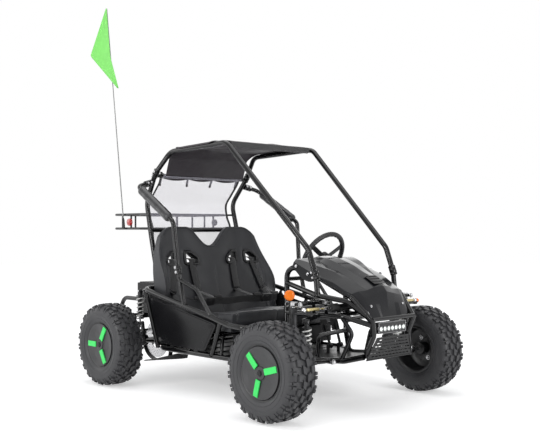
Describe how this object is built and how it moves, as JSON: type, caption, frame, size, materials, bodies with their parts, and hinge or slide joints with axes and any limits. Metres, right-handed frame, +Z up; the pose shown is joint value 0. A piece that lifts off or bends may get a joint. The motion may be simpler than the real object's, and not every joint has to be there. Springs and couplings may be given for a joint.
{
  "type": "electric off-road go-kart",
  "caption": "Two-seat tubular off-road kart with cloth roof, sprung wheels on lugged tyres, rack steering, pedals, lamp bar and rear carrier.",
  "frame": {"origin": "centre of the footprint of the bounding box, on the ground under the tyres", "axes": "+X forward, +Y to the driver's left, +Z up"},
  "size_m": [1.7483, 1.127, 1.9533],
  "materials": {
    "frame_paint": "gloss black powder coat",
    "bare_steel": "zinc-plated steel",
    "gold_anodised": "gold anodised metal",
    "dark_casting": "dark cast aluminium",
    "spring_white": "white painted spring wire",
    "tyre_rubber": "matt black rubber with lugs",
    "rim_black": "black painted wheel",
    "grip_rubber": "soft black grip",
    "panel_plastic": "gloss dark moulded plastic",
    "amber_plastic": "amber lens on a black stalk",
    "lamp_housing": "black housing with clear lamps",
    "seat_vinyl": "charcoal leatherette with stitched panels",
    "belt_webbing": "black woven webbing",
    "roof_cloth": "black coated cloth",
    "flag_cloth": "bright green nylon",
    "clear_sheet": "clear flexible plastic sheet",
    "pole_fibre": "white glass-fibre rod"
  },
  "bodies": {
    "chassis": {"main_frame": "frame_paint", "side_panel_right": "panel_plastic", "side_panel_left": "panel_plastic", "roll_cage": "frame_paint", "rear_hoop": "frame_paint", "side_bar_right": "frame_paint", "side_bar_left": "frame_paint", "cargo_rack": "frame_paint", "canopy": "roof_cloth", "rear_window": "clear_sheet", "flag_pole": "pole_fibre", "flag": "flag_cloth", "seat_back": "seat_vinyl", "seat_cushion": "seat_vinyl", "seat_belts": "belt_webbing", "hood": "panel_plastic", "bumper_plate": "frame_paint", "rack_housing": "dark_casting", "battery_box": "frame_paint"},
    "lamp": {"light_bar": "lamp_housing"},
    "throttle": {"throttle_pedal": "bare_steel"},
    "brake": {"brake_pedal": "bare_steel"},
    "steering": {"steering_wheel": "grip_rubber", "steering_shaft": "bare_steel"},
    "rack": {"rack_bar": "bare_steel"},
    "swing": {"swing_arm": "frame_paint", "drive_unit": "dark_casting"},
    "rear_wheels": {"rear_axle": "bare_steel", "rear_left_tyre": "tyre_rubber", "rear_left_rim": "rim_black", "rear_right_tyre": "tyre_rubber", "rear_right_rim": "rim_black"},
    "lower_arm_left": {"lower_arm_left": "frame_paint"},
    "upper_arm_left": {"upper_arm_left": "frame_paint"},
    "upright_left": {"upright_left": "bare_steel"},
    "knuckle_left": {"knuckle_left": "bare_steel", "side_marker_left": "amber_plastic"},
    "front_wheel_left": {"front_left_tyre": "tyre_rubber", "front_left_rim": "rim_black"},
    "tie_rod_left": {"tie_rod_left": "gold_anodised"},
    "front_shock_left": {"front_shock_body_left": "dark_casting", "front_spring_left": "spring_white"},
    "front_piston_left": {"front_shock_rod_left": "bare_steel"},
    "rear_shock_left": {"rear_shock_body_left": "dark_casting", "rear_spring_left": "spring_white"},
    "rear_piston_left": {"rear_shock_rod_left": "bare_steel"},
    "lower_arm_right": {"lower_arm_right": "frame_paint"},
    "upper_arm_right": {"upper_arm_right": "frame_paint"},
    "upright_right": {"upright_right": "bare_steel"},
    "knuckle_right": {"knuckle_right": "bare_steel", "side_marker_right": "amber_plastic"},
    "front_wheel_right": {"front_right_tyre": "tyre_rubber", "front_right_rim": "rim_black"},
    "tie_rod_right": {"tie_rod_right": "gold_anodised"},
    "front_shock_right": {"front_shock_body_right": "dark_casting", "front_spring_right": "spring_white"},
    "front_piston_right": {"front_shock_rod_right": "bare_steel"},
    "rear_shock_right": {"rear_shock_body_right": "dark_casting", "rear_spring_right": "spring_white"},
    "rear_piston_right": {"rear_shock_rod_right": "bare_steel"}
  },
  "joints": [
    {"name": "lamp_tilt", "type": "hinge", "parent": "chassis", "child": "lamp", "pos_m": [0.848, 0, 0.355], "axis": [0, 1, 0], "range_deg": [-8, 12]},
    {"name": "throttle_press", "type": "hinge", "parent": "chassis", "child": "throttle", "pos_m": [0.432, 0.08, 0.228], "axis": [0, 1, 0], "range_deg": [0, 18], "stiffness_Nm_per_rad": 4, "springref_deg": -17.19},
    {"name": "brake_press", "type": "hinge", "parent": "chassis", "child": "brake", "pos_m": [0.432, 0.15, 0.228], "axis": [0, 1, 0], "range_deg": [0, 18], "stiffness_Nm_per_rad": 6, "springref_deg": -17.19},
    {"name": "steering_turn", "type": "hinge", "parent": "chassis", "child": "steering", "pos_m": [0.328, 0.145, 0.631], "axis": [0.8823, 0, -0.4706], "range_deg": [-72, 72]},
    {"name": "rack_slide", "type": "slide", "parent": "chassis", "child": "rack", "axis": [0, 1, 0], "range_m": [-0.0196, 0.0196]},
    {"name": "swing_travel", "type": "hinge", "parent": "chassis", "child": "swing", "pos_m": [-0.36, 0, 0.207], "axis": [0, 1, 0], "range_deg": [-4, 4], "stiffness_Nm_per_rad": 2500},
    {"name": "rear_axle_spin", "type": "hinge", "parent": "swing", "child": "rear_wheels", "pos_m": [-0.523, 0, 0.2], "axis": [0, 1, 0], "continuous": true},
    {"name": "front_travel_left", "type": "hinge", "parent": "chassis", "child": "lower_arm_left", "pos_m": [0.642, 0.205, 0.215], "axis": [1, 0, 0], "range_deg": [-6, 6], "stiffness_Nm_per_rad": 350},
    {"name": "upper_arm_swing_left", "type": "hinge", "parent": "chassis", "child": "upper_arm_left", "pos_m": [0.632, 0.205, 0.457], "axis": [1, 0, 0], "range_deg": [-6.5, 6.5]},
    {"name": "upright_level_left", "type": "hinge", "parent": "lower_arm_left", "child": "upright_left", "pos_m": [0.64, 0.365, 0.215], "axis": [1, 0, 0], "range_deg": [-6.5, 6.5]},
    {"name": "wheel_steer_left", "type": "hinge", "parent": "upright_left", "child": "knuckle_left", "pos_m": [0.64, 0.365, 0.336], "axis": [0, 0, 1], "range_deg": [-20.5, 20.5]},
    {"name": "front_wheel_spin_left", "type": "hinge", "parent": "knuckle_left", "child": "front_wheel_left", "pos_m": [0.64, 0.491, 0.2], "axis": [0, 1, 0], "continuous": true},
    {"name": "tie_rod_swing_left", "type": "hinge", "parent": "rack", "child": "tie_rod_left", "pos_m": [0.697, 0.245, 0.4365], "axis": [1, 0, 0], "range_deg": [-8.5, 8.5]},
    {"name": "front_shock_swing_left", "type": "hinge", "parent": "chassis", "child": "front_shock_left", "pos_m": [0.649, 0.298, 0.383], "axis": [1, 0, 0], "range_deg": [-2, 2]},
    {"name": "front_shock_stroke_left", "type": "slide", "parent": "front_shock_left", "child": "front_piston_left", "axis": [0, 0, 1], "range_m": [-0.0105, 0.0105], "deforming": ["front_spring_left"]},
    {"name": "rear_shock_swing_left", "type": "hinge", "parent": "chassis", "child": "rear_shock_left", "pos_m": [-0.523, 0.3, 0.45], "axis": [0, 1, 0], "range_deg": [-3, 3]},
    {"name": "rear_shock_stroke_left", "type": "slide", "parent": "rear_shock_left", "child": "rear_piston_left", "axis": [0, 0, 1], "range_m": [-0.0125, 0.0125], "deforming": ["rear_spring_left"]},
    {"name": "front_travel_right", "type": "hinge", "parent": "chassis", "child": "lower_arm_right", "pos_m": [0.642, -0.205, 0.215], "axis": [-1, 0, 0], "range_deg": [-6, 6], "stiffness_Nm_per_rad": 350},
    {"name": "upper_arm_swing_right", "type": "hinge", "parent": "chassis", "child": "upper_arm_right", "pos_m": [0.632, -0.205, 0.457], "axis": [-1, 0, 0], "range_deg": [-6.5, 6.5]},
    {"name": "upright_level_right", "type": "hinge", "parent": "lower_arm_right", "child": "upright_right", "pos_m": [0.64, -0.365, 0.215], "axis": [-1, 0, 0], "range_deg": [-6.5, 6.5]},
    {"name": "wheel_steer_right", "type": "hinge", "parent": "upright_right", "child": "knuckle_right", "pos_m": [0.64, -0.365, 0.336], "axis": [0, 0, 1], "range_deg": [-20.5, 20.5]},
    {"name": "front_wheel_spin_right", "type": "hinge", "parent": "knuckle_right", "child": "front_wheel_right", "pos_m": [0.64, -0.491, 0.2], "axis": [0, 1, 0], "continuous": true},
    {"name": "tie_rod_swing_right", "type": "hinge", "parent": "rack", "child": "tie_rod_right", "pos_m": [0.697, -0.245, 0.4365], "axis": [-1, 0, 0], "range_deg": [-8.5, 8.5]},
    {"name": "front_shock_swing_right", "type": "hinge", "parent": "chassis", "child": "front_shock_right", "pos_m": [0.649, -0.298, 0.383], "axis": [-1, 0, 0], "range_deg": [-2, 2]},
    {"name": "front_shock_stroke_right", "type": "slide", "parent": "front_shock_right", "child": "front_piston_right", "axis": [0, 0, 1], "range_m": [-0.0105, 0.0105], "deforming": ["front_spring_right"]},
    {"name": "rear_shock_swing_right", "type": "hinge", "parent": "chassis", "child": "rear_shock_right", "pos_m": [-0.523, -0.3, 0.45], "axis": [0, 1, 0], "range_deg": [-3, 3]},
    {"name": "rear_shock_stroke_right", "type": "slide", "parent": "rear_shock_right", "child": "rear_piston_right", "axis": [0, 0, 1], "range_m": [-0.0125, 0.0125], "deforming": ["rear_spring_right"]}
  ],
  "couplings": [
    {"joint": "rack_slide", "follows": "steering_turn", "m_per_rad": -0.0155},
    {"joint": "wheel_steer_left", "follows": "steering_turn", "ratio": -0.2778},
    {"joint": "upper_arm_swing_left", "follows": "front_travel_left", "ratio": 1},
    {"joint": "upright_level_left", "follows": "front_travel_left", "ratio": -1},
    {"joint": "tie_rod_swing_left", "follows": "front_travel_left", "ratio": 1.3333},
    {"joint": "front_shock_swing_left", "follows": "front_travel_left", "ratio": -0.217},
    {"joint": "front_shock_stroke_left", "follows": "front_travel_left", "m_per_rad": 0.093},
    {"joint": "rear_shock_swing_left", "follows": "swing_travel", "ratio": -0.473},
    {"joint": "rear_shock_stroke_left", "follows": "swing_travel", "m_per_rad": 0.163},
    {"joint": "wheel_steer_right", "follows": "steering_turn", "ratio": -0.2778},
    {"joint": "upper_arm_swing_right", "follows": "front_travel_right", "ratio": 1},
    {"joint": "upright_level_right", "follows": "front_travel_right", "ratio": -1},
    {"joint": "tie_rod_swing_right", "follows": "front_travel_right", "ratio": 1.3333},
    {"joint": "front_shock_swing_right", "follows": "front_travel_right", "ratio": -0.217},
    {"joint": "front_shock_stroke_right", "follows": "front_travel_right", "m_per_rad": 0.093},
    {"joint": "rear_shock_swing_right", "follows": "swing_travel", "ratio": -0.473},
    {"joint": "rear_shock_stroke_right", "follows": "swing_travel", "m_per_rad": 0.163}
  ]
}
